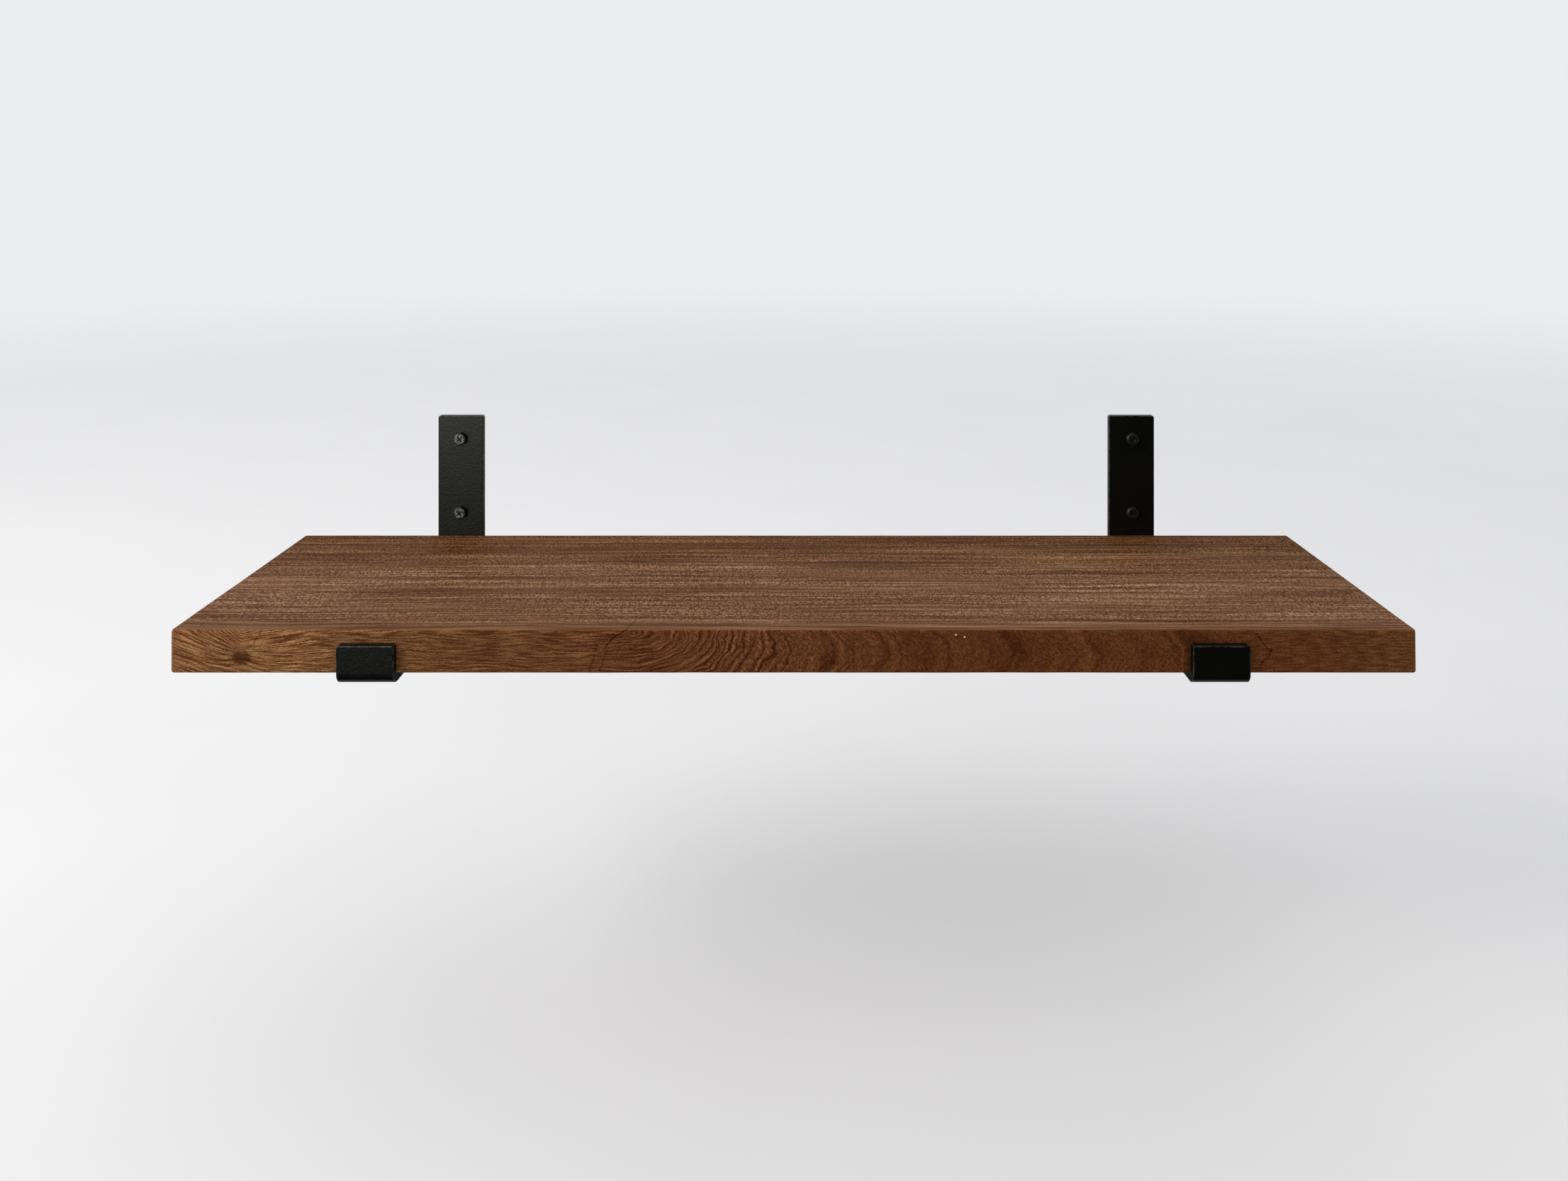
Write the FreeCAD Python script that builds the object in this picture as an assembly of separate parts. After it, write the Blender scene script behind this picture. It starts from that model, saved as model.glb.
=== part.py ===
import FreeCAD, Part
import math
import os

# Wall shelf: one solid hardwood board on two bent flat-bar brackets.
# Each bracket is one bar bent twice: a plate up the wall, an arm under the board and a short lip before it.
# Millimetres. +X is to the right as seen from the room, +Y goes into the wall and +Z is up.
# The origin is the centre of the four wall fixings, on the wall's surface (the plane Y = 0).

Vector = FreeCAD.Vector
X_AXIS = Vector(1, 0, 0)
Y_AXIS = Vector(0, 1, 0)
Z_AXIS = Vector(0, 0, 1)

# Shelf board
BOARD_LENGTH = 867.0
BOARD_DEPTH = 225.0
BOARD_THICKNESS = 31.0
BOARD_TOP_ROUND = 2.8
BOARD_BOTTOM_ROUND = 2.2
BOARD_END_ROUND = 2.5

# Bracket flat bar
BAR_WIDTH = 40.0
BAR_THICKNESS = 6.0
BEND_INSIDE_RADIUS = 2.0
BAR_CORNER_RADIUS = 2.2
BAR_EDGE_ROUND = 0.8
LIP_HEIGHT = 21.5
BRACKET_SPACING = 592.0

# Wall fixings: two in each plate
FIXING_SPACING = 65.0
FIXING_ABOVE_BOARD = 20.0
FIXING_BELOW_PLATE_TOP = 20.0
PLATE_HOLE_RADIUS = 3.4

# Wall screw, M6 hexagon head with a cross recess
HEAD_ACROSS_FLATS = 10.0
HEAD_HEIGHT = 5.0
HEAD_TOP_RADIUS = 4.0
HEAD_CHAMFER_ANGLE = 35.0
NECK_RADIUS = 3.2
SHANK_RADIUS = 3.0
SHANK_LENGTH = 12.0
SCREW_LENGTH = 60.0
THREAD_ROOT_RADIUS = 2.1
THREAD_CREST_RADIUS = 2.8
THREAD_PITCH = 2.6
THREAD_CREST_WIDTH = 0.3
TIP_LENGTH = 4.0
RECESS_RADIUS = 2.8
RECESS_DEPTH = 2.4
RECESS_SLOT = 1.2

# Turn of each hexagon head from point-up, in degrees, clockwise as seen from the room
HEAD_TURNS = {
    "left_upper": 6.0,
    "left_lower": 7.0,
    "right_upper": -12.0,
    "right_lower": 17.0,
}

# Wall plug, set in the masonry behind the plaster
PLASTER_THICKNESS = 13.0
PLUG_LENGTH = 40.0
PLUG_RADIUS = 4.0
PLUG_WAIST_RADIUS = 3.75
PLUG_NOSE_RADIUS = 3.45
PLUG_BORE_RADIUS = 2.9
PLUG_COLLAR_LENGTH = 7.0
PLUG_RIB_PITCH = 4.0
PLUG_SLOT_WIDTH = 1.1
PLUG_FIN_LENGTH = 12.0
PLUG_FIN_HEIGHT = 0.7
PLUG_FIN_WIDTH = 0.8

# Shelf screw, 4 x 25 countersunk, up through the arm into the board
ARM_SCREW_INSET = 55.0
ARM_SCREW_LENGTH = 25.0
ARM_SCREW_HEAD_RADIUS = 4.0
ARM_SCREW_RIM = 0.3
ARM_SCREW_SHANK_RADIUS = 2.0
ARM_SCREW_SHANK_END = 9.0
ARM_SCREW_ROOT_RADIUS = 1.35
ARM_SCREW_PITCH = 1.8
ARM_SCREW_TIP_LENGTH = 3.0
ARM_SCREW_SINK = 0.2
ARM_RECESS_RADIUS = 2.2
ARM_RECESS_DEPTH = 1.9
ARM_RECESS_SLOT = 0.95
ARM_HOLE_RADIUS = 2.25
PILOT_CLEARANCE = 0.05
COUNTERSINK_CLEARANCE = 0.15

# A cross recess narrows to this share of its mouth at its floor
RECESS_TAPER = 0.35

# Levels and planes that follow from the sizes above
UPPER_FIXING_Z = FIXING_SPACING / 2
LOWER_FIXING_Z = -FIXING_SPACING / 2
PLATE_TOP_Z = UPPER_FIXING_Z + FIXING_BELOW_PLATE_TOP
BOARD_TOP_Z = LOWER_FIXING_Z - FIXING_ABOVE_BOARD
BOARD_UNDERSIDE_Z = BOARD_TOP_Z - BOARD_THICKNESS
ARM_UNDERSIDE_Z = BOARD_UNDERSIDE_Z - BAR_THICKNESS
LIP_TOP_Z = BOARD_UNDERSIDE_Z + LIP_HEIGHT
BOARD_BACK_Y = -BAR_THICKNESS
BOARD_FRONT_Y = BOARD_BACK_Y - BOARD_DEPTH
LIP_FRONT_Y = BOARD_FRONT_Y - BAR_THICKNESS
BRACKET_X = {"left": -BRACKET_SPACING / 2, "right": BRACKET_SPACING / 2}
FIXING_Z = {"upper": UPPER_FIXING_Z, "lower": LOWER_FIXING_Z}
ARM_SCREW_Y = {
    "front": BOARD_FRONT_Y + ARM_SCREW_INSET,
    "rear": BOARD_BACK_Y - ARM_SCREW_INSET,
}
SHORT_EDGE = 10.0


def into_wall(shape, base):
    """Turns a shape built along +Z to run into the wall, along +Y, and moves its origin to base."""
    turned = shape.copy()
    turned.rotate(Vector(0, 0, 0), X_AXIS, -90)
    turned.translate(base)
    return turned


def revolved(outline):
    """A solid of revolution about Z from (radius, height) points."""
    points = [Vector(radius, 0, height) for radius, height in outline]
    face = Part.Face(Part.makePolygon(points + points[:1]))
    return face.revolve(Vector(0, 0, 0), Z_AXIS, 360)


def bend(centre_y, centre_z, radius, start_angle, end_angle):
    """An arc in the YZ plane, with its angles in degrees from +Y towards +Z."""

    def at(angle):
        turn = math.radians(angle)
        return Vector(0, centre_y + radius * math.cos(turn), centre_z + radius * math.sin(turn))

    return Part.Arc(at(start_angle), at((start_angle + end_angle) / 2), at(end_angle)).toShape()


def run(start, end):
    """A straight edge in the YZ plane between two (y, z) points."""
    return Part.LineSegment(Vector(0, *start), Vector(0, *end)).toShape()


def thread_outline(root, crest, crest_width, pitch, start, end):
    """The (radius, height) points of a threaded length: one closed crest ring for each pitch."""
    points = []
    height = start
    while height + pitch <= end:
        points.append((root, height))
        points.append((root, height + pitch * 0.3))
        points.append((crest, height + (pitch - crest_width) * 0.6))
        points.append((crest, height + (pitch - crest_width) * 0.6 + crest_width))
        points.append((root, height + pitch * 0.9))
        height += pitch
    points.append((root, end))
    return points


def cross_recess(radius, depth, slot):
    """A tapered cross-shaped socket, with its mouth at Z = 0 and its floor at Z = depth."""
    arms = Part.makeBox(2 * radius, slot, depth, Vector(-radius, -slot / 2, 0))
    arms = arms.fuse(Part.makeBox(slot, 2 * radius, depth, Vector(-slot / 2, -radius, 0)))
    return arms.common(Part.makeCone(radius, radius * RECESS_TAPER, depth))


def shelf_board():
    """The board, with eased edges and a blind pilot hole over each arm screw."""
    corner = Vector(-BOARD_LENGTH / 2, BOARD_FRONT_Y, BOARD_UNDERSIDE_Z)
    board = Part.makeBox(BOARD_LENGTH, BOARD_DEPTH, BOARD_THICKNESS, corner)
    board = board.makeFillet(BOARD_END_ROUND, [e for e in board.Edges if e.BoundBox.ZLength > 1])
    top = [e for e in board.Edges if e.BoundBox.ZMin > BOARD_TOP_Z - 0.01]
    board = board.makeFillet(BOARD_TOP_ROUND, top)
    bottom = [e for e in board.Edges if e.BoundBox.ZMax < BOARD_UNDERSIDE_Z + 0.01]
    board = board.makeFillet(BOARD_BOTTOM_ROUND, bottom)
    pilot_depth = ARM_SCREW_LENGTH - BAR_THICKNESS + ARM_SCREW_SINK
    pilot_radius = ARM_SCREW_SHANK_RADIUS + PILOT_CLEARANCE
    for x in BRACKET_X.values():
        for y in ARM_SCREW_Y.values():
            mouth = Vector(x, y, BOARD_UNDERSIDE_Z)
            board = board.cut(Part.makeCylinder(pilot_radius, pilot_depth, mouth))
    return board


def bracket_bar():
    """The bent bar before drilling, centred on X = 0: wall plate, arm and front lip."""
    inside = BEND_INSIDE_RADIUS
    outside = inside + BAR_THICKNESS
    back_y = -outside
    front_y = LIP_FRONT_Y + outside
    bend_z = ARM_UNDERSIDE_Z + outside
    outline = Part.Wire([
        run((0, PLATE_TOP_Z), (0, bend_z)),
        bend(back_y, bend_z, outside, 0, -90),
        run((back_y, ARM_UNDERSIDE_Z), (front_y, ARM_UNDERSIDE_Z)),
        bend(front_y, bend_z, outside, -90, -180),
        run((LIP_FRONT_Y, bend_z), (LIP_FRONT_Y, LIP_TOP_Z)),
        run((LIP_FRONT_Y, LIP_TOP_Z), (BOARD_FRONT_Y, LIP_TOP_Z)),
        run((BOARD_FRONT_Y, LIP_TOP_Z), (BOARD_FRONT_Y, bend_z)),
        bend(front_y, bend_z, inside, -180, -90),
        run((front_y, BOARD_UNDERSIDE_Z), (back_y, BOARD_UNDERSIDE_Z)),
        bend(back_y, bend_z, inside, -90, 0),
        run((BOARD_BACK_Y, bend_z), (BOARD_BACK_Y, PLATE_TOP_Z)),
        run((BOARD_BACK_Y, PLATE_TOP_Z), (0, PLATE_TOP_Z)),
    ])
    bar = Part.Face(outline).extrude(X_AXIS * BAR_WIDTH)
    bar.translate(Vector(-BAR_WIDTH / 2, 0, 0))
    corners = [e for e in bar.Edges if is_thickness_edge(e) and at_bar_end(e)]
    bar = bar.makeFillet(BAR_CORNER_RADIUS, corners)
    return bar.makeFillet(BAR_EDGE_ROUND, [e for e in bar.Edges if is_rim_edge(e)])


def at_bar_end(edge):
    """True for an edge that lies in the top of the wall plate or the top of the lip."""
    low = edge.BoundBox.ZMin
    high = edge.BoundBox.ZMax
    return any(abs(low - end) < 0.01 and abs(high - end) < 0.01 for end in (PLATE_TOP_Z, LIP_TOP_Z))


def is_thickness_edge(edge):
    """True for a short straight edge across the bar's thickness."""
    box = edge.BoundBox
    return box.XLength < 0.01 and box.ZLength < 0.01 and box.YLength < SHORT_EDGE


def is_rim_edge(edge):
    """True for the edges around the bar's two broad faces."""
    if is_thickness_edge(edge):
        return False
    across = edge.BoundBox.XLength > BAR_WIDTH / 2
    return at_bar_end(edge) if across else True


def bracket(side):
    """One bracket: the bar with two fixing holes in its plate and two countersunk holes in its arm."""
    bar = bracket_bar()
    for z in FIXING_Z.values():
        mouth = Vector(0, BOARD_BACK_Y, z)
        bar = bar.cut(Part.makeCylinder(PLATE_HOLE_RADIUS, BAR_THICKNESS, mouth, Y_AXIS))
    sink_radius = ARM_SCREW_HEAD_RADIUS + COUNTERSINK_CLEARANCE
    sink_rim = ARM_SCREW_SINK + ARM_SCREW_RIM - COUNTERSINK_CLEARANCE
    for y in ARM_SCREW_Y.values():
        hole = revolved([
            (0, 0),
            (sink_radius, 0),
            (sink_radius, sink_rim),
            (ARM_HOLE_RADIUS, sink_rim + sink_radius - ARM_HOLE_RADIUS),
            (ARM_HOLE_RADIUS, BAR_THICKNESS),
            (0, BAR_THICKNESS),
        ])
        hole.translate(Vector(0, y, ARM_UNDERSIDE_Z))
        bar = bar.cut(hole)
    bar.translate(Vector(BRACKET_X[side], 0, 0))
    return bar


def hexagon_head():
    """The head, from its chamfered top at Z = -HEAD_HEIGHT to its bearing face at Z = 0, point up."""
    corner_radius = HEAD_ACROSS_FLATS / math.sqrt(3)
    turns = [math.radians(60 * i) for i in range(6)]
    points = [Vector(corner_radius * math.sin(t), corner_radius * math.cos(t), 0) for t in turns]
    prism = Part.Face(Part.makePolygon(points + points[:1])).extrude(Z_AXIS * -HEAD_HEIGHT)
    slope = (corner_radius - HEAD_TOP_RADIUS) * math.tan(math.radians(HEAD_CHAMFER_ANGLE))
    envelope = revolved([
        (0, 0),
        (corner_radius, 0),
        (corner_radius, -HEAD_HEIGHT + slope),
        (HEAD_TOP_RADIUS, -HEAD_HEIGHT),
        (0, -HEAD_HEIGHT),
    ])
    recess = cross_recess(RECESS_RADIUS, RECESS_DEPTH, RECESS_SLOT)
    recess.rotate(Vector(0, 0, 0), Z_AXIS, 45)
    recess.translate(Vector(0, 0, -HEAD_HEIGHT))
    return prism.common(envelope).cut(recess)


def wall_screw(side, level):
    """One wall screw: its head bears on the plate, and its plain shank passes through the plaster."""
    wall_z = BAR_THICKNESS
    thread_start = wall_z + SHANK_LENGTH
    thread_end = SCREW_LENGTH - TIP_LENGTH
    thread = thread_outline(
        THREAD_ROOT_RADIUS,
        THREAD_CREST_RADIUS,
        THREAD_CREST_WIDTH,
        THREAD_PITCH,
        thread_start,
        thread_end,
    )
    body = revolved(
        [
            (0, 0),
            (NECK_RADIUS, 0),
            (NECK_RADIUS, wall_z),
            (SHANK_RADIUS, wall_z),
            (SHANK_RADIUS, thread_start),
        ]
        + thread
        + [(0, SCREW_LENGTH)]
    )
    screw = body.fuse(hexagon_head()).removeSplitter()
    screw.rotate(Vector(0, 0, 0), Z_AXIS, HEAD_TURNS[side + "_" + level])
    return into_wall(screw, Vector(BRACKET_X[side], BOARD_BACK_Y, FIXING_Z[level]))


def wall_plug(side, level):
    """One ribbed expansion plug: a plain collar, four legs and two fins that stop it turning."""
    outline = [(PLUG_BORE_RADIUS, 0), (PLUG_RADIUS, 0), (PLUG_RADIUS, PLUG_COLLAR_LENGTH)]
    height = PLUG_COLLAR_LENGTH
    while height + PLUG_RIB_PITCH < PLUG_LENGTH - PLUG_RIB_PITCH:
        outline.append((PLUG_WAIST_RADIUS, height))
        outline.append((PLUG_WAIST_RADIUS, height + PLUG_RIB_PITCH / 2))
        outline.append((PLUG_RADIUS, height + PLUG_RIB_PITCH))
        height += PLUG_RIB_PITCH
    outline.append((PLUG_WAIST_RADIUS, height))
    outline.append((PLUG_NOSE_RADIUS, PLUG_LENGTH))
    outline.append((PLUG_BORE_RADIUS, PLUG_LENGTH))
    plug = revolved(outline)
    reach = PLUG_RADIUS + PLUG_FIN_HEIGHT
    fin_start = PLUG_COLLAR_LENGTH / 2
    for sign in (-1, 1):
        fin = Part.makeBox(
            reach - PLUG_BORE_RADIUS,
            PLUG_FIN_WIDTH,
            PLUG_FIN_LENGTH,
            Vector(PLUG_BORE_RADIUS, -PLUG_FIN_WIDTH / 2, fin_start),
        )
        fin.rotate(Vector(0, 0, 0), Z_AXIS, 45 + 90 * (1 - sign))
        plug = plug.fuse(fin)
    plug = plug.cut(Part.makeCylinder(PLUG_BORE_RADIUS, PLUG_LENGTH))
    slot_start = PLUG_COLLAR_LENGTH + PLUG_RIB_PITCH
    for size in ((2 * reach, PLUG_SLOT_WIDTH), (PLUG_SLOT_WIDTH, 2 * reach)):
        corner = Vector(-size[0] / 2, -size[1] / 2, slot_start)
        plug = plug.cut(Part.makeBox(size[0], size[1], PLUG_LENGTH, corner))
    return into_wall(plug, Vector(BRACKET_X[side], PLASTER_THICKNESS, FIXING_Z[level]))


def shelf_screw(side, place):
    """One countersunk screw, from the underside of the arm up into the board."""
    head_end = ARM_SCREW_RIM + ARM_SCREW_HEAD_RADIUS - ARM_SCREW_SHANK_RADIUS
    thread = thread_outline(
        ARM_SCREW_ROOT_RADIUS,
        ARM_SCREW_SHANK_RADIUS,
        THREAD_CREST_WIDTH,
        ARM_SCREW_PITCH,
        ARM_SCREW_SHANK_END,
        ARM_SCREW_LENGTH - ARM_SCREW_TIP_LENGTH,
    )
    screw = revolved(
        [
            (0, 0),
            (ARM_SCREW_HEAD_RADIUS, 0),
            (ARM_SCREW_HEAD_RADIUS, ARM_SCREW_RIM),
            (ARM_SCREW_SHANK_RADIUS, head_end),
            (ARM_SCREW_SHANK_RADIUS, ARM_SCREW_SHANK_END),
        ]
        + thread
        + [(0, ARM_SCREW_LENGTH)]
    )
    screw = screw.cut(cross_recess(ARM_RECESS_RADIUS, ARM_RECESS_DEPTH, ARM_RECESS_SLOT))
    screw.translate(Vector(BRACKET_X[side], ARM_SCREW_Y[place], ARM_UNDERSIDE_Z + ARM_SCREW_SINK))
    return screw


def write(node, shape):
    """Writes one node's STEP file."""
    solids = shape.Solids
    if len(solids) != 1 or not shape.isValid():
        raise ValueError(node + " is not one valid solid")
    solids[0].exportStep("parts/" + node + ".step")
    print(node, "volume", round(solids[0].Volume, 1), "mm3")


def main():
    os.makedirs("parts", exist_ok=True)
    write("shelf_board", shelf_board())
    for side in BRACKET_X:
        write(side + "_bracket", bracket(side))
        for level in FIXING_Z:
            write(side + "_" + level + "_wall_screw", wall_screw(side, level))
            write(side + "_" + level + "_wall_plug", wall_plug(side, level))
        for place in ARM_SCREW_Y:
            write(side + "_" + place + "_shelf_screw", shelf_screw(side, place))


main()
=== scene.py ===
import math

import bmesh
import bpy
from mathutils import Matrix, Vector, noise

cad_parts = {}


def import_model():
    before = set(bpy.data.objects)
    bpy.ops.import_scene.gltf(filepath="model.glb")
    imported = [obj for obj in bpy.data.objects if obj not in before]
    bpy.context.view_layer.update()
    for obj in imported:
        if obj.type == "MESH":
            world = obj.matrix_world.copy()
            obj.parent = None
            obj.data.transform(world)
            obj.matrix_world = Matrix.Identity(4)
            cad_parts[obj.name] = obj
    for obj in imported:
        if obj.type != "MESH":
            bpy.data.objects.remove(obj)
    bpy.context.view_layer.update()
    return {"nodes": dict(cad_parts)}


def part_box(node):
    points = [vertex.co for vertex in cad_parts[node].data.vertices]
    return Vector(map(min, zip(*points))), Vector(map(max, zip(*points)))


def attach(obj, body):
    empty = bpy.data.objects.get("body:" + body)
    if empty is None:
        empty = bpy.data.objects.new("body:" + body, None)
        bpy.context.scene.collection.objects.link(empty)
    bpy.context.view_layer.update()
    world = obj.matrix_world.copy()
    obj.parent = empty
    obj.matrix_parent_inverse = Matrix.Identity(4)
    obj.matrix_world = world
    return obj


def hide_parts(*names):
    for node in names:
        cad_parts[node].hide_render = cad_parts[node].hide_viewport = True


# A hardwood shelf board on two bent flat-bar brackets, over a plain pale floor.
# Metres, +X to the right, +Y into the wall, +Z up. The shaders work in millimetres.

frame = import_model()

MM = 0.001
BOARD_LOW, BOARD_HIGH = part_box("shelf_board")
SIDES = ("left", "right")

# Camera
CAMERA_PLACE = (0.009, -1.066, 0.257)
CAMERA_LENS = 27.57
CAMERA_SHIFT = (-0.0143, -0.2592)

# Stage
FLOOR_Z = -0.40
FLOOR_RADIUS = 9.0
FLOOR_FADE = (1500.0, 7000.0)
WORLD_COLOUR = (0.86, 0.865, 0.875, 1.0)
WORLD_STRENGTH = 0.98
KEY_COLOUR = (1.0, 0.98, 0.95)
GLINT_COLOUR = (0.96, 1.0, 0.92)


def srgb(red, green, blue):
    """A linear colour from display values of 0 to 255."""

    def linear(value):
        share = value / 255
        return share / 12.92 if share <= 0.04045 else ((share + 0.055) / 1.055) ** 2.4

    return (linear(red), linear(green), linear(blue), 1.0)


# ---------------------------------------------------------------- shader building


class Value:
    """A shader value. Arithmetic on it adds math nodes to its graph."""

    def __init__(self, graph, socket):
        self.graph = graph
        self.socket = socket

    def __add__(self, other):
        return self.graph.math("ADD", self, other)

    def __sub__(self, other):
        return self.graph.math("SUBTRACT", self, other)

    def __rsub__(self, other):
        return self.graph.math("SUBTRACT", other, self)

    def __mul__(self, other):
        return self.graph.math("MULTIPLY", self, other)

    def __truediv__(self, other):
        return self.graph.math("DIVIDE", self, other)

    def __abs__(self):
        return self.graph.math("ABSOLUTE", self)

    __radd__ = __add__
    __rmul__ = __mul__


class Graph:
    """One material's nodes, built from formulas. Lengths are in millimetres."""

    def __init__(self, name):
        self.material = bpy.data.materials.new(name)
        self.material.use_nodes = True
        self.tree = self.material.node_tree
        self.tree.nodes.clear()
        place = self.node("ShaderNodeTexCoord").outputs["Object"]
        metres = self.split(Value(self, place))
        self.x, self.y, self.z = [value * 1000.0 for value in metres]

    def node(self, kind, **settings):
        made = self.tree.nodes.new(kind)
        for name, value in settings.items():
            setattr(made, name, value)
        return made

    def feed(self, socket, value):
        if isinstance(value, Value):
            self.tree.links.new(value.socket, socket)
        else:
            socket.default_value = value[:3] if socket.type == "VECTOR" else value

    def math(self, operation, *terms):
        made = self.node("ShaderNodeMath", operation=operation)
        for socket, term in zip(made.inputs, terms):
            self.feed(socket, term)
        return Value(self, made.outputs[0])

    def split(self, vector):
        made = self.node("ShaderNodeSeparateXYZ")
        self.feed(made.inputs[0], vector)
        return [Value(self, socket) for socket in made.outputs]

    def join(self, x, y, z):
        made = self.node("ShaderNodeCombineXYZ")
        for socket, value in zip(made.inputs, (x, y, z)):
            self.feed(socket, value)
        return Value(self, made.outputs[0])

    def noise(self, x, y, z, detail=2.0, roughness=0.5):
        """Fractal noise about 0.5, with features one unit across."""
        made = self.node("ShaderNodeTexNoise", noise_dimensions="3D")
        self.feed(made.inputs["Vector"], self.join(x, y, z))
        made.inputs["Scale"].default_value = 1.0
        made.inputs["Detail"].default_value = detail
        made.inputs["Roughness"].default_value = roughness
        return Value(self, made.outputs["Fac"])

    def cells(self, x, y, z):
        """The distance to the nearest of some scattered points, one to a unit cell."""
        made = self.node("ShaderNodeTexVoronoi", voronoi_dimensions="3D", feature="F1")
        self.feed(made.inputs["Vector"], self.join(x, y, z))
        made.inputs["Scale"].default_value = 1.0
        return Value(self, made.outputs["Distance"])

    def step(self, value, low, high):
        """A smooth step from 0 at low to 1 at high, or down when low is over high."""
        made = self.node("ShaderNodeMapRange", interpolation_type="SMOOTHSTEP")
        flipped = low > high
        self.feed(made.inputs["Value"], value)
        made.inputs["From Min"].default_value = min(low, high)
        made.inputs["From Max"].default_value = max(low, high)
        made.inputs["To Min"].default_value = 1.0 if flipped else 0.0
        made.inputs["To Max"].default_value = 0.0 if flipped else 1.0
        return Value(self, made.outputs["Result"])

    def band(self, value, centre, half_width, soft):
        """1 within half_width of centre, falling to 0 over soft."""
        return self.step(abs(value - centre), half_width + soft, half_width)

    def reach(self, x, z, points):
        """The distance in a plane to the line through some points, or to the only point."""
        nearest = None
        for (x0, z0), (x1, z1) in zip(points, points[1:] or points):
            run_x, run_z = x1 - x0, z1 - z0
            square = max(run_x * run_x + run_z * run_z, 1e-6)
            share = ((x - x0) * run_x + (z - z0) * run_z) / square
            share = self.math("MINIMUM", self.math("MAXIMUM", share, 0.0), 1.0)
            off_x, off_z = x - x0 - share * run_x, z - z0 - share * run_z
            away = self.math("SQRT", off_x * off_x + off_z * off_z)
            nearest = away if nearest is None else self.math("MINIMUM", nearest, away)
        return nearest

    def blend(self, share, first, second):
        made = self.node("ShaderNodeMix", data_type="RGBA")
        self.feed(made.inputs[0], share)
        self.feed(made.inputs[6], first)
        self.feed(made.inputs[7], second)
        return Value(self, made.outputs[2])

    def mix(self, share, first, second):
        made = self.node("ShaderNodeMix", data_type="FLOAT")
        self.feed(made.inputs[0], share)
        self.feed(made.inputs[2], first)
        self.feed(made.inputs[3], second)
        return Value(self, made.outputs[0])

    def nearest(self, x, z, lines):
        """The distance in a plane to the nearest of some lines."""
        distance = self.reach(x, z, lines[0])
        for points in lines[1:]:
            distance = self.math("MINIMUM", distance, self.reach(x, z, points))
        return distance

    def length(self, x, y):
        return self.math("SQRT", x * x + y * y)

    def scaled(self, colour, factor):
        """A colour multiplied by a number."""
        made = self.node("ShaderNodeVectorMath", operation="SCALE")
        self.feed(made.inputs[0], colour)
        self.feed(made.inputs["Scale"], factor)
        return Value(self, made.outputs[0])

    def toned(self, colour, shade):
        """A colour made darker and redder, or paler and yellower, by a factor about 1."""
        made = self.node("ShaderNodeVectorMath", operation="MULTIPLY")
        self.feed(made.inputs[0], colour)
        green = self.math("POWER", shade, 1.3)
        blue = self.math("POWER", shade, 1.6)
        self.feed(made.inputs[1], self.join(shade, green, blue))
        return Value(self, made.outputs[0])

    def ramp(self, value, low, high, stops):
        """A colour from (place, colour) stops, with places between low and high."""
        made = self.node("ShaderNodeValToRGB")
        self.feed(made.inputs[0], (value - low) / (high - low))
        elements = made.color_ramp.elements
        while len(elements) < len(stops):
            elements.new(0.5)
        for element, (place, colour) in zip(elements, stops):
            element.position = (place - low) / (high - low)
            element.color = colour
        return Value(self, made.outputs["Color"])

    def facing(self):
        """How squarely the surface faces along X, Y and Z, each from 0 to 1."""
        normal = self.node("ShaderNodeNewGeometry").outputs["Normal"]
        return [abs(value) for value in self.split(Value(self, normal))]

    def finish(self, colour, roughness, height, bump_mm, **uniform):
        """The surface: colour, roughness and bump from the graph, the rest uniform."""
        surface = self.node("ShaderNodeBsdfPrincipled")
        self.feed(surface.inputs["Base Color"], colour)
        self.feed(surface.inputs["Roughness"], roughness)
        for name, value in uniform.items():
            surface.inputs[name.replace("_", " ")].default_value = value
        bump = self.node("ShaderNodeBump")
        bump.inputs["Strength"].default_value = 1.0
        bump.inputs["Distance"].default_value = bump_mm * MM
        self.feed(bump.inputs["Height"], height)
        self.tree.links.new(bump.outputs[0], surface.inputs["Normal"])
        output = self.node("ShaderNodeOutputMaterial")
        self.tree.links.new(surface.outputs[0], output.inputs["Surface"])
        return self.material


# ---------------------------------------------------------------- wood

BOARD_TOP = BOARD_HIGH.z * 1000
BOARD_LEFT = BOARD_LOW.x * 1000
BOARD_RIGHT = BOARD_HIGH.x * 1000
BOARD_FRONT = BOARD_LOW.y * 1000
BOARD_BACK = BOARD_HIGH.y * 1000

# the front face's colours from left to right, darker to the right partly as wood tone and partly
# as painted shade; the top's from front to back, darker at the back as painted shade
HONEY = srgb(112, 73, 42)
WARM_BROWN = srgb(91, 56, 30)
CHESTNUT = srgb(88, 50, 26)
UMBER = srgb(83, 46, 22)
TAWNY = srgb(87, 53, 28)
TAN = srgb(108, 74, 50)
# painted shade for the back of the top, standing in for the wall's shade
TAN_IN_PAINTED_SHADE = srgb(93, 59, 33)
END_GRAIN = srgb(92, 58, 38)
FILLER = srgb(205, 180, 140)
FRONT_LIFT = 0.05

# landmarks of the front face
KNOT_X = -384.0
KNOT_Z = -72.5
KNOT_WIDTH = 13.0
KNOT_HEIGHT = 8.0
HEART_X = -113.0
DEEP_CRACKS = [
    [(-115.5, -52.0), (-119.5, -55.0), (-124.5, -58.0), (-130.0, -64.0)],
    [(322.0, -56.0), (331.5, -68.6), (325.0, -77.5)],
]
FAINT_CRACKS = [
    [(-368.9, -52.0), (-375.5, -63.0)],
    [(-130.0, -64.0), (-134.5, -83.0)],
    [(-136.0, -62.0), (-141.5, -82.0)],
]
FILLER_SPECKS = [[(113.0, -56.5)], [(119.0, -58.0)]]
TOP_CRACK = [(-116.5, -232.0), (-114.0, -222.0), (-112.5, -213.0)]

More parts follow.
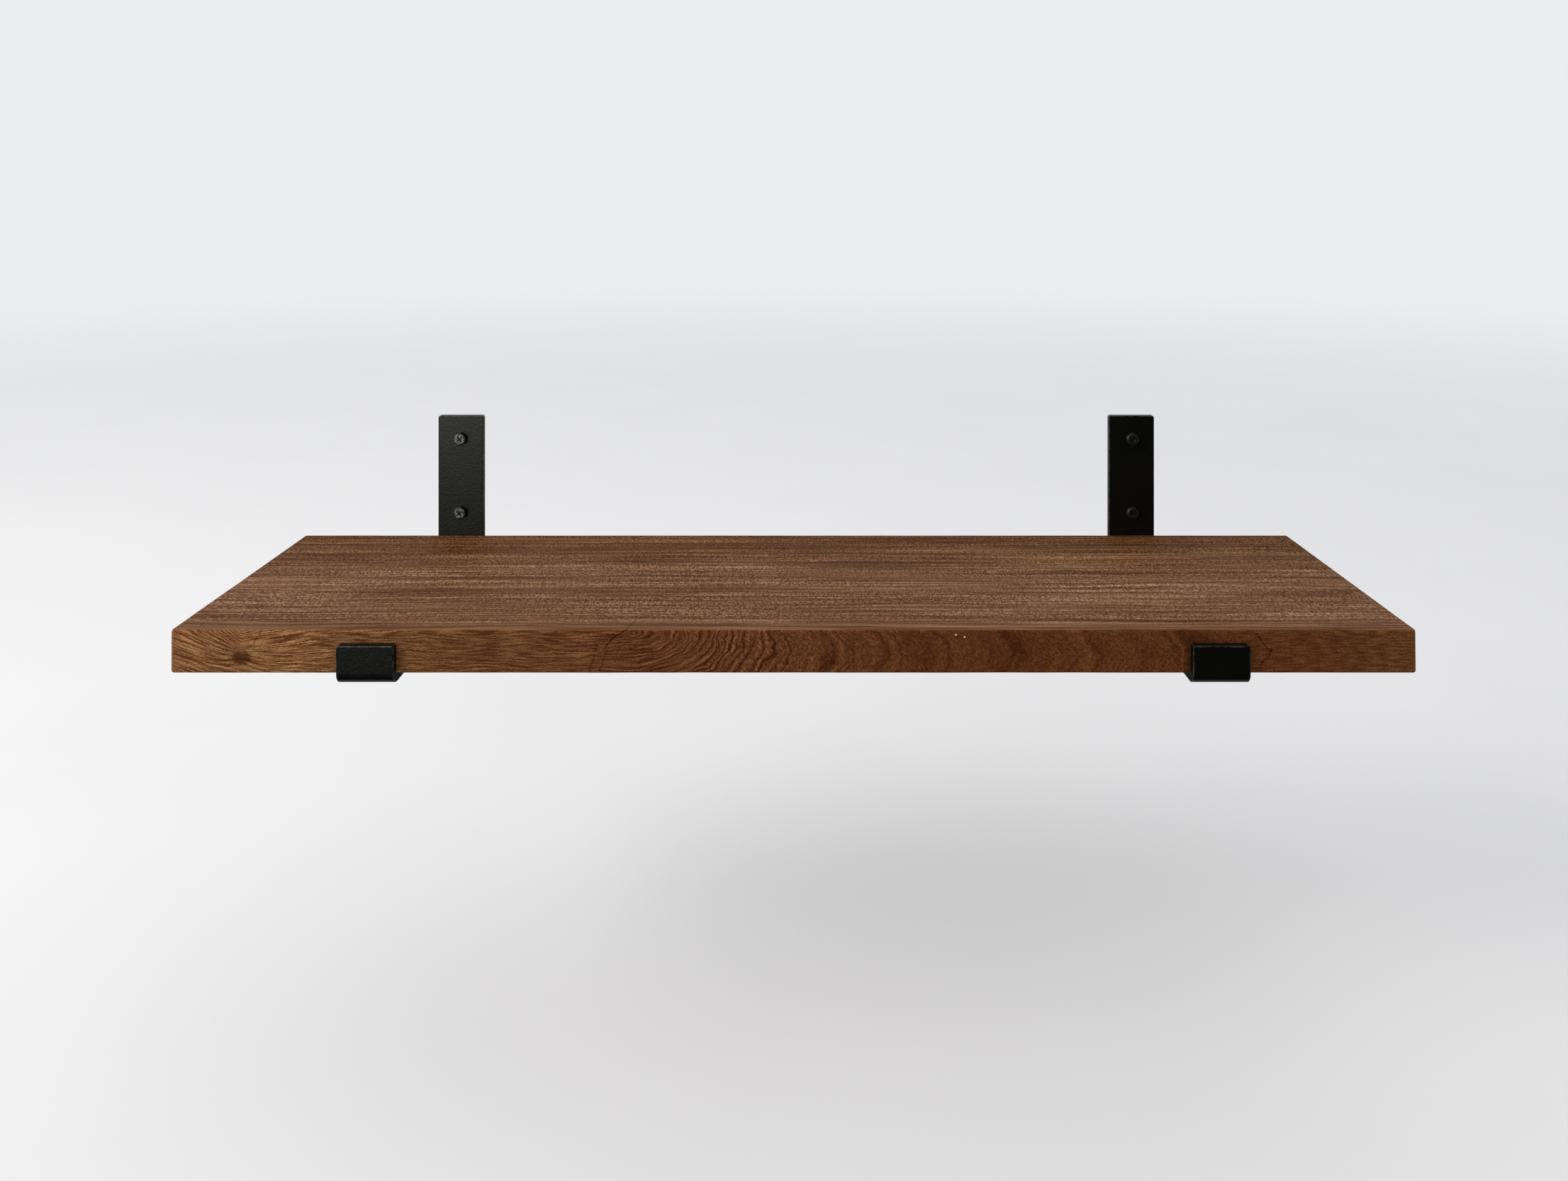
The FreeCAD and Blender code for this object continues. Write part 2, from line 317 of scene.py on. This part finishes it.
# where the front face's figure changes, each from one X to another
KNOT_FADES = (-330.0, -230.0)
ARCS_BEGIN = (-150.0, -105.0)
STREAKS_TURN = (-105.0, -10.0)
ARCS_BOW = (-70.0, 30.0)
MOTTLE_BEGINS = (-45.0, 70.0)
PATCHES_BEGIN = (-20.0, 60.0)
STREAKS_RETURN = (285.0, 330.0)

# how the front face's growth layers bend, as slopes and millimetres
RISE_BY_KNOT = 0.42
ARC_SLOPE = 0.59
ARC_LENGTH = 40.0
WAIST_DEPTH = 22.0
WAIST_SPAN = 17.0
WAIST_PUSH = 10.0
RING_GAP = 1.9
RINGS_WIDEN = 150.0

# bands of Y: the cracks and filler stay off the back, and the ripple fades at the front edge
FRONT_ONLY = (-110.0, -120.0)
RIPPLE_BEGINS = (-236.0, -200.0)

# the top's bold lines: place along Y, half width, fade, weight
TOP_LINES = [
    (-154.0, 1.2, 2.0, 0.8),
    (-100.0, 1.0, 2.0, 0.8),
    (-211.0, 2.5, 5.0, 0.5),
    (-40.0, 7.0, 9.0, 0.5),
]

# centre of the growth rings seen on the ends
PITH_Y = -96.0
PITH_Z = -190.0


class Front:
    """The front face's wobbles, regions and growth layers, worked out once.

    The layers are pinched at the knot, rise to its left, and turn into arcs about the heart.
    """

    def __init__(self, g):
        x, z = g.x, g.z
        self.x, self.z = x, z
        self.in_arcs = g.step(x, *ARCS_BEGIN)
        self.in_mottle = g.step(x, *MOTTLE_BEGINS)
        self.in_right = g.step(x, *STREAKS_RETURN)
        self.at_front = g.step(g.y, *FRONT_ONLY)
        wander = g.noise(x * 0.02, 7.0, z * 0.05) - 0.5
        self.sway = g.noise(x * 0.06, 3.0, z * 0.09, detail=1.0) - 0.5
        self.jag = g.noise(x * 0.45, 1.0, z * 0.45, roughness=0.6) - 0.5
        self.depth = BOARD_TOP - z - wander * 8.0 - self.jag * 2.2
        bowed = (self.depth - WAIST_DEPTH) / WAIST_SPAN
        bow = bowed * bowed * g.step(x, *ARCS_BOW) * WAIST_PUSH
        self.side = x + self.sway * 12.0 + self.jag * 4.0 + bow
        self.knot_reach = g.length(
            (x - KNOT_X + self.jag * 7.0) / KNOT_WIDTH,
            (z - KNOT_Z + self.jag * 5.0) / KNOT_HEIGHT,
        )
        right = g.math("MAXIMUM", self.side - HEART_X, 0.0) * ARC_SLOPE
        self.layer = g.length(right, self.depth) + self.lift_at_knot(g)
        turn = g.math("ARCTAN2", right, self.depth)
        self.along = g.math("MINIMUM", x, HEART_X) + turn * ARC_LENGTH

    def lift_at_knot(self, g):
        """How far the knot moves the layers: up to its left, and in towards it."""
        rise = g.math("MAXIMUM", KNOT_X - self.x, 0.0) * RISE_BY_KNOT
        off = self.x - KNOT_X
        beside = g.math("SQRT", off * off + 30.0)
        pinch = g.math("EXPONENT", beside / -20.0)
        above = self.z - KNOT_Z
        pull = above / (abs(above) / 9.0 + 1.0) * pinch * 1.9
        return rise + g.step(self.knot_reach, 1.3, 0.0) * 5.0 - pull


def ring_lines(g, front):
    """Dark layer lines, some bold and some faint, and the paler lines between them."""
    layer, along = front.layer, front.along
    bend = g.noise(layer * 0.07, along * 0.014, 5.0) - 0.5
    rings = layer / (layer / RINGS_WIDEN + 1.0) / RING_GAP + bend * 4.2
    bold = g.step(g.noise(rings * 0.55, along * 0.012, 1.0, detail=1.0), 0.36, 0.60)
    bold = bold * front.in_arcs
    bold = bold * g.mix(front.in_mottle, 1.0, 0.40) * g.mix(front.in_right, 1.0, 0.25)
    off = abs(g.math("FRACT", rings) - 0.5)
    return g.step(off, 0.21, 0.05) * bold, g.step(off, 0.30, 0.46) * bold


def front_streaks(g, front):
    """Short dark and pale streaks: along the layers, then upright, then lengthwise.

    Returns (streak, strength).
    """
    left = g.noise(front.layer * 1.32, front.along * 0.044, 4.0, detail=3.0, roughness=0.6)
    middle = g.noise(front.side * 0.75, 6.0, front.depth * 0.36, detail=3.0, roughness=0.6)
    right = g.noise(front.z * 0.90, front.x * 0.075, 8.0, detail=3.0, roughness=0.6)
    streak = g.mix(g.step(front.x, *STREAKS_TURN), left, middle)
    streak = g.mix(front.in_right, streak, right)
    strength = g.mix(g.step(front.x, *KNOT_FADES), 1.75, 1.35)
    strength = g.mix(front.in_arcs, strength, 0.95)
    strength = g.mix(front.in_mottle, strength, 0.62)
    strength = g.mix(front.in_right, strength, 0.68)
    return g.step(streak, 0.42, 0.58) - 0.5, strength


def front_patches(g, front):
    """Broad darker patches in the mottled wood."""
    mottle = g.noise(front.x * 0.06, 5.0, front.z * 0.05, detail=3.0)
    swell = g.noise(front.layer * 0.10, front.along * 0.012, 2.0)
    patch = g.step(swell, 0.48, 0.62) + g.step(mottle, 0.50, 0.64)
    return patch * g.step(front.x, *PATCHES_BEGIN) * g.mix(front.in_right, 1.0, 0.35)


def front_cracks(g, front):
    """How dark the fine cracks are, from 0 to 1."""
    x = front.x + front.jag * 7.0 + front.sway * 4.0
    z = front.z + front.jag * 3.0
    deep = g.step(g.nearest(x, z, DEEP_CRACKS), 0.75, 0.15)
    faint = g.step(g.nearest(x, z, FAINT_CRACKS), 0.7, 0.1) * 0.65
    return g.math("MAXIMUM", deep, faint) * front.at_front


def front_figure(g):
    """The front face: streaks round a knot on the left, then nested arcs, then mottled wood.

    Returns (colour, height).
    """
    front = Front(g)
    x, z = g.x, g.z
    line, between = ring_lines(g, front)
    crisp, strength = front_streaks(g, front)
    flow = g.noise(front.layer * 0.22, front.along * 0.012, 9.0) - 0.5
    speckle = g.noise(x * 1.05, 6.0, z * 1.30, roughness=0.6) - 0.5
    speckle = speckle * g.mix(front.in_arcs, 1.0, 1.25)
    pore = g.step(g.noise(x * 0.60, 2.0, z * 0.80), 0.57, 0.66)
    pore = pore * g.mix(front.in_arcs, 0.25, 0.48)
    split = front_cracks(g, front)
    tone = FRONT_LIFT - crisp * strength * 0.75 + flow * 0.35 + speckle * 1.1 - pore
    tone = tone - line * 0.85 + between * 0.34 - front_patches(g, front) * 0.15
    tone = tone - g.step(front.knot_reach, 0.75, 0.30) * 0.95 - split * 0.9
    # partly painted shade: the front darkens to the right partly as the wood's tone, partly for
    # light falling off from the left
    colour = g.ramp(x, BOARD_LEFT, BOARD_RIGHT, [
        (BOARD_LEFT, HONEY),
        (-350.0, HONEY),
        (-240.0, WARM_BROWN),
        (HEART_X, CHESTNUT),
        (20.0, CHESTNUT),
        (90.0, UMBER),
        (345.0, UMBER),
        (BOARD_RIGHT, TAWNY),
    ])
    colour = g.toned(colour, g.math("EXPONENT", tone))
    filler = g.step(g.nearest(x, z, FILLER_SPECKS), 0.8, 0.45) * front.at_front
    colour = g.blend(filler, colour, FILLER)
    height = speckle * 0.8 - crisp * 0.6 - line * 0.6 - pore * 1.2 - split * 2.0
    return colour, height


def top_stripes(g, across):
    """Lengthwise stripes of the top: broad, ribbon-wide and wispy, with veins and bold lines."""
    x = g.x
    broad = g.noise(across * 0.055, x * 0.0012, 1.0) - 0.5
    ribbon = g.noise(across * 0.16, x * 0.003, 2.0) - 0.5
    wisp = g.noise(across * 0.62, x * 0.016, 6.0, roughness=0.6) - 0.5
    contour = g.noise(across * 0.060, x * 0.0018, 4.0)
    vein = g.step(abs(contour - 0.5), 0.035, 0.005)
    lines = 0.0
    for place, half_width, soft, weight in TOP_LINES:
        lines = g.band(across, place, half_width, soft) * weight + lines
    return broad * 0.9 + ribbon * 1.4 + wisp * 0.9 - lines * 0.25 - vein * 0.20


def top_figure(g):
    """The top and underside: lengthwise ribbon stripes with a fine crosswise ripple.

    Returns (colour, height).
    """
    x, y = g.x, g.y
    drift = g.noise(x * 0.004, y * 0.01, 3.0) - 0.5
    wave = g.noise(x * 0.03, y * 0.05, 5.0) - 0.5
    across = y + drift * 14.0 + wave * 3.0
    thread = g.noise(across * 0.42, x * 0.006, 3.0, detail=3.0, roughness=0.6)
    thread = g.step(thread, 0.40, 0.60) - 0.5
    where = g.step(g.noise(x * 0.006, across * 0.05, 8.0), 0.30, 0.65)
    ripple = g.noise(x * 0.70, y * 0.32, wave * 6.0, roughness=0.6)
    ripple = (g.step(ripple, 0.40, 0.60) - 0.5) * g.step(y, *RIPPLE_BEGINS)
    ripple = ripple * g.mix(where, 0.45, 1.0)
    split = g.step(g.reach(x, y, TOP_CRACK), 0.7, 0.15) * 0.5
    tone = top_stripes(g, across) + thread * 0.60 + ripple - split
    # painted shade: the top darkens towards the back, standing in for the wall's shade on it
    base = g.ramp(y, BOARD_FRONT, BOARD_BACK, [
        (BOARD_FRONT, TAN),
        (-120.0, TAN),
        (-40.0, TAN_IN_PAINTED_SHADE),
        (BOARD_BACK, TAN_IN_PAINTED_SHADE),
    ])
    colour = g.toned(base, g.math("EXPONENT", tone))
    return colour, ripple + thread * 0.6 - split * 2.0


def end_figure(g):
    """The ends: bowed growth rings cut across, with open pores and fine pale rays.

    Returns (colour, height).
    """
    y, z = g.y, g.z
    bow = g.noise(y * 0.02, z * 0.03, 4.0) - 0.5
    shake = g.noise(y * 0.30, z * 0.30, 7.0) - 0.5
    side, rise = y - PITH_Y, z - PITH_Z
    reach = g.length(side, rise)
    ring = reach * 0.30 + bow * 5.0 + shake * 0.5
    band = g.math("FRACT", ring)
    late = g.step(band, 0.55, 0.95) * g.step(band, 1.0, 0.97)
    broad = g.noise(ring * 0.35, 0.0, 6.0) - 0.5
    pore = g.step(g.cells(y * 0.95, 2.0, z * 0.95), 0.32, 0.18)
    fleck = g.noise(y * 0.9, 5.0, z * 0.9, detail=3.0, roughness=0.65) - 0.5
    turn = g.math("ARCTAN2", side, rise)
    ray = g.step(g.noise(turn * 160.0, reach * 0.06, 3.0), 0.56, 0.66)
    tone = 0.12 - late * 0.34 + broad * 0.9 + fleck * 0.7 - pore * 0.35 + ray * 0.10
    colour = g.toned(END_GRAIN, g.math("EXPONENT", tone))
    return colour, fleck * 0.4 - pore - late * 0.2


def hardwood():
    """Oiled wood: one figure front and back, one on top and underneath, one on the ends."""
    g = Graph("hardwood_oiled")
    face_x, face_y, face_z = g.facing()
    front_colour, front_height = front_figure(g)
    top_colour, top_height = top_figure(g)
    end_colour, end_height = end_figure(g)
    flat = g.step(face_z - face_y, -0.25, 0.25)
    ends = g.step(face_x, 0.55, 0.8)
    colour = g.blend(flat, front_colour, top_colour)
    colour = g.blend(ends, colour, end_colour)
    height = g.mix(flat, front_height, top_height)
    height = g.mix(ends, height, end_height)
    # eased edges are paler: partly rubbed wear, partly a painted highlight along the arris
    squarest = g.math("MAXIMUM", g.math("MAXIMUM", face_x, face_y), face_z)
    edge_patches = g.noise(g.x * 0.05, g.y * 0.05, g.z * 0.05, detail=4.0)
    paler_mask = g.step(squarest, 0.97, 0.80) * g.step(edge_patches, 0.35, 0.60)
    colour = g.scaled(colour, 1.0 + paler_mask * 0.12)
    sheen = g.noise(g.x * 0.02, g.y * 0.02, g.z * 0.02, detail=3.0)
    roughness = 0.60 + (sheen - 0.5) * 0.2 - paler_mask * 0.06
    return g.finish(colour, roughness, height, 0.14, Specular_IOR_Level=0.02)


# ---------------------------------------------------------------- metal and nylon

BRACKET_X = 296.0
PLATE_TOP = 52.5
LIP_TOP = -62.0
BAR_HALF_WIDTH = 20.0
EDGE_INSET = 0.45
LIP_ONLY = (-200.0, -210.0)
LIP_FACE_ONLY = (-232.0, -235.0)
LIP_SCRATCH = [(-290.5, -63.5), (-291.5, -66.5), (-294.0, -70.5)]
SCREW_HEAD_ONLY = (-10.4, -10.9)
LEFT_ONLY = (0.0, -1.0)


def pale_edge_spots(g):
    """Paler spots along the bar's long edges and its two ends, from 0 to 1."""
    from_centre = abs(abs(g.x) - BRACKET_X)
    rim = g.band(from_centre, BAR_HALF_WIDTH - EDGE_INSET, 0.15, 0.30)
    plate_end = g.band(g.z, PLATE_TOP - EDGE_INSET, 0.15, 0.30)
    lip_end = g.band(g.z, LIP_TOP - EDGE_INSET, 0.15, 0.30) * g.step(g.y, *LIP_ONLY)
    edge = g.math("MAXIMUM", rim, g.math("MAXIMUM", plate_end, lip_end))
    spots = g.noise(g.x * 0.2, g.y * 0.2, g.z * 0.2, detail=4.0)
    return edge * g.step(spots, 0.40, 0.62)


def powder_coat():
    """Slightly pebbled black coat, paler in spots along the edges, with a scratch on the left
    lip.
    """
    g = Graph("powder_coat_black")
    orange_peel = g.noise(g.x * 0.55, g.y * 0.55, g.z * 0.55, detail=3.0, roughness=0.6)
    drift = g.noise(g.x * 0.05, g.y * 0.05, g.z * 0.05, detail=3.0)
    paler_mask = pale_edge_spots(g)
    colour = g.blend(drift, srgb(5, 7, 4), srgb(10, 12, 8))
    colour = g.blend(paler_mask * 0.6, colour, srgb(64, 65, 60))
    roughness = 0.36 + (orange_peel - 0.5) * 0.25 - paler_mask * 0.1
    scratch = g.step(g.reach(g.x, g.z, LIP_SCRATCH), 0.7, 0.2) * g.step(g.y, *LIP_FACE_ONLY)
    height = g.step(orange_peel, 0.40, 0.72) * 0.7 + orange_peel * 0.4 - scratch * 2.0
    return g.finish(colour, roughness, height, 0.05, Specular_IOR_Level=0.17)


def screw_paint():
    """Black paint, with pale patches on the heads of the left screws: partly scuffs, partly a
    painted highlight from the light on the left.
    """
    g = Graph("screw_paint_black")
    head_patches = g.noise(g.x * 0.60, g.y * 0.60, g.z * 0.60, detail=4.0, roughness=0.6)
    fine = g.noise(g.x * 2.0, g.y * 2.0, g.z * 2.0)
    # painted highlight: only the left screws' heads get pale patches, which are partly scuffs
    paler_mask = g.step(head_patches, 0.42, 0.56) * g.step(g.y, *SCREW_HEAD_ONLY) * g.step(g.x, *LEFT_ONLY)
    colour = g.blend(fine, srgb(10, 11, 10), srgb(17, 18, 17))
    colour = g.blend(paler_mask * 0.8, colour, srgb(112, 118, 110))
    roughness = 0.44 + (fine - 0.5) * 0.2
    return g.finish(colour, roughness, fine, 0.03, Specular_IOR_Level=0.28)


def nylon():
    """Grey moulded nylon, for the wall plugs."""
    g = Graph("nylon_grey")
    grain = g.noise(g.x * 0.9, g.y * 0.9, g.z * 0.9, detail=3.0)
    drift = g.noise(g.x * 0.1, g.y * 0.1, g.z * 0.1)
    colour = g.blend(drift, srgb(150, 152, 152), srgb(176, 177, 175))
    return g.finish(colour, 0.45 + (grain - 0.5) * 0.2, grain, 0.04, Subsurface_Weight=0.05)


def phosphate():
    """Dull crystalline black, for the shelf screws."""
    g = Graph("phosphate_black")
    crystal = g.noise(g.x * 2.5, g.y * 2.5, g.z * 2.5, detail=3.0, roughness=0.7)
    drift = g.noise(g.x * 0.3, g.y * 0.3, g.z * 0.3)
    colour = g.blend(crystal, srgb(30, 31, 33), srgb(58, 58, 60))
    roughness = 0.5 + (drift - 0.5) * 0.3
    return g.finish(colour, roughness, crystal, 0.02, Specular_IOR_Level=0.4)


# ---------------------------------------------------------------- board mesh

ROUND_TOP = 2.8 * MM
ROUND_UNDER = 2.2 * MM
# by hand: the rounding varies by this share, and the surface is this much lower in places
HAND_SHARE = 0.12
SANDED = 0.10 * MM
EDGE_STEPS = 6
GRID_STEP = 6.0 * MM
WELD = 1e-6


def grid_lines(low, high, ease):
    """Places from low to high: close together in the eased edges, even between."""
    places = []
    for i in range(EDGE_STEPS + 1):
        places.append(low + ease * (1 - math.tan(math.radians(45 * (1 - i / EDGE_STEPS)))))
    inner = high - low - 2 * ease
    count = max(1, round(inner / GRID_STEP))
    middle = [low + ease + inner * i / count for i in range(1, count)]
    return places + middle + [low + high - place for place in reversed(places)]


def eased(point, low, high):
    """Moves a point of the box's surface on to the hand-sanded board."""
    height = (point.z - low.z) / (high.z - low.z)
    hand = noise.noise(Vector((point.x * 45, point.y * 45, point.z * 20)))
    ease = ROUND_UNDER + (ROUND_TOP - ROUND_UNDER) * height
    ease *= 1 + HAND_SHARE * hand
    inner = Vector([min(max(point[i], low[i] + ease), high[i] - ease) for i in range(3)])
    outward = (point - inner).normalized()
    wave = noise.noise(Vector((point.x * 14, point.y * 14 + 3, point.z * 14)))
    return inner + outward * ease - outward * SANDED * (0.5 + 0.5 * wave)


def board_mesh(low, high):
    """The board's surface as six grids, joined along the edges."""
    lines = [grid_lines(low[i], high[i], ROUND_TOP) for i in range(3)]
    mesh = bmesh.new()
    for axis in range(3):
        across, up = [i for i in range(3) if i != axis]
        for level in (low[axis], high[axis]):
            rows = []
            for a in lines[across]:
                row = []
                for b in lines[up]:
                    point = Vector((0, 0, 0))
                    point[axis], point[across], point[up] = level, a, b
                    row.append(mesh.verts.new(eased(point, low, high)))
                rows.append(row)
            for first, second in zip(rows, rows[1:]):
                for i in range(len(first) - 1):
                    mesh.faces.new((first[i], first[i + 1], second[i + 1], second[i]))
    bmesh.ops.remove_doubles(mesh, verts=mesh.verts, dist=WELD)
    bmesh.ops.recalc_face_normals(mesh, faces=mesh.faces)
    made = bpy.data.meshes.new("shelf_board_wood")
    mesh.to_mesh(made)
    mesh.free()
    made.shade_smooth()
    return made


def board():
    piece = bpy.data.objects.new("shelf_board_wood", board_mesh(BOARD_LOW, BOARD_HIGH))
    bpy.context.scene.collection.objects.link(piece)
    piece.data.materials.append(hardwood())
    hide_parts("shelf_board")
    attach(piece, "root")


# ---------------------------------------------------------------- metal parts


def coat(piece, material):
    piece.data.materials.clear()
    piece.data.materials.append(material)


def hardware():
    bar, paint, plastic, dull = powder_coat(), screw_paint(), nylon(), phosphate()
    for side in SIDES:
        coat(frame["nodes"][side + "_bracket"], bar)
        for level in ("upper", "lower"):
            corner = side + "_" + level
            coat(frame["nodes"][corner + "_wall_screw"], paint)
            coat(frame["nodes"][corner + "_wall_plug"], plastic)
        for place in ("front", "rear"):
            screw = frame["nodes"][side + "_" + place + "_shelf_screw"]
            coat(screw, dull)


# ---------------------------------------------------------------- stage


def camera():
    data = bpy.data.cameras.new("camera")
    data.lens = CAMERA_LENS
    data.sensor_width = 36.0
    data.shift_x, data.shift_y = CAMERA_SHIFT
    data.clip_end = 60.0
    made = bpy.data.objects.new("camera", data)
    made.location = CAMERA_PLACE
    made.rotation_euler = (math.radians(90), 0, 0)
    bpy.context.scene.collection.objects.link(made)
    bpy.context.scene.camera = made


def floor():
    """A pale floor that fades into the background far out."""
    mesh = bmesh.new()
    bmesh.ops.create_circle(mesh, cap_ends=True, radius=FLOOR_RADIUS, segments=96)
    data = bpy.data.meshes.new("floor")
    mesh.to_mesh(data)
    mesh.free()
    made = bpy.data.objects.new("floor", data)
    made.location = (0, 0, FLOOR_Z)
    bpy.context.scene.collection.objects.link(made)
    g = Graph("floor_pale")
    fade = g.step(g.length(g.x, g.y), *FLOOR_FADE)
    cloud = g.noise(g.x * 0.003, g.y * 0.003, 0.0, detail=3.0)
    colour = g.blend(cloud, srgb(228, 228, 229), srgb(233, 233, 234))
    lit = g.node("ShaderNodeBsdfDiffuse")
    g.feed(lit.inputs["Color"], colour)
    clear = g.node("ShaderNodeBsdfTransparent")
    mixed = g.node("ShaderNodeMixShader")
    g.feed(mixed.inputs[0], fade)
    g.tree.links.new(lit.outputs[0], mixed.inputs[1])
    g.tree.links.new(clear.outputs[0], mixed.inputs[2])
    output = g.node("ShaderNodeOutputMaterial")
    g.tree.links.new(mixed.outputs[0], output.inputs["Surface"])
    data.materials.append(g.material)


def area_light(name, place, aim, size, power, colour, only_gloss=False):
    """A rectangle of light that no camera sees. With only_gloss, it shows only in gloss."""
    data = bpy.data.lights.new(name, "AREA")
    data.shape = "RECTANGLE"
    data.size, data.size_y = size
    data.energy = power
    data.color = colour
    made = bpy.data.objects.new(name, data)
    made.location = place
    made.rotation_euler = (Vector(aim) - Vector(place)).to_track_quat("-Z", "Y").to_euler()
    made.visible_camera = False
    made.visible_diffuse = not only_gloss
    bpy.context.scene.collection.objects.link(made)


def black_card(name, place, turn, size):
    """A card that keeps the pale surroundings out of the gloss, and shows nowhere else."""
    mesh = bmesh.new()
    bmesh.ops.create_grid(mesh, x_segments=1, y_segments=1, size=0.5)
    for vertex in mesh.verts:
        vertex.co = Vector((vertex.co.x * size[0], 0, vertex.co.y * size[1]))
    data = bpy.data.meshes.new(name)
    mesh.to_mesh(data)
    mesh.free()
    card = bpy.data.materials.new(name)
    card.use_nodes = True
    surface = card.node_tree.nodes["Principled BSDF"]
    surface.inputs["Base Color"].default_value = srgb(20, 20, 20)
    surface.inputs["Roughness"].default_value = 0.9
    surface.inputs["Specular IOR Level"].default_value = 0.0
    data.materials.append(card)
    made = bpy.data.objects.new(name, data)
    made.location = place
    made.rotation_euler = [math.radians(angle) for angle in turn]
    made.visible_camera = False
    made.visible_diffuse = False
    made.visible_shadow = False
    bpy.context.scene.collection.objects.link(made)


def world():
    made = bpy.data.worlds.new("world")
    made.use_nodes = True
    background = made.node_tree.nodes["Background"]
    background.inputs["Color"].default_value = WORLD_COLOUR
    background.inputs["Strength"].default_value = WORLD_STRENGTH
    bpy.context.scene.world = made
    bpy.context.scene.view_settings.view_transform = "Standard"


def lights():
    """A soft key from the left, a glint for the left plate, and cards that darken the gloss."""
    area_light("key", (-3.0, -1.7, 2.0), (-0.1, -0.1, -0.05), (2.1, 1.8), 80.0, KEY_COLOUR)
    area_light(
        "glint", (-0.72, -1.30, 0.12), (-0.296, 0.0, 0.03), (0.35, 0.30), 9.5, GLINT_COLOUR,
        only_gloss=True,
    )
    facing, lying, sideways = (0, 0, 0), (90, 0, 0), (0, 0, 90)
    low = FLOOR_Z + 0.01
    black_card("flag_front", (1.0, -2.4, 1.0), facing, (5.0, 2.8))
    black_card("card_low", (-0.2, -0.88, low), lying, (4.2, 1.4))
    black_card("card_low_right", (1.1, -1.9, low), lying, (2.2, 1.6))
    black_card("card_back", (0.0, 0.8, low), lying, (1.6, 0.9))
    black_card("flag_right", (1.9, -1.2, 1.0), sideways, (2.6, 2.4))


camera()
floor()
world()
lights()
board()
hardware()
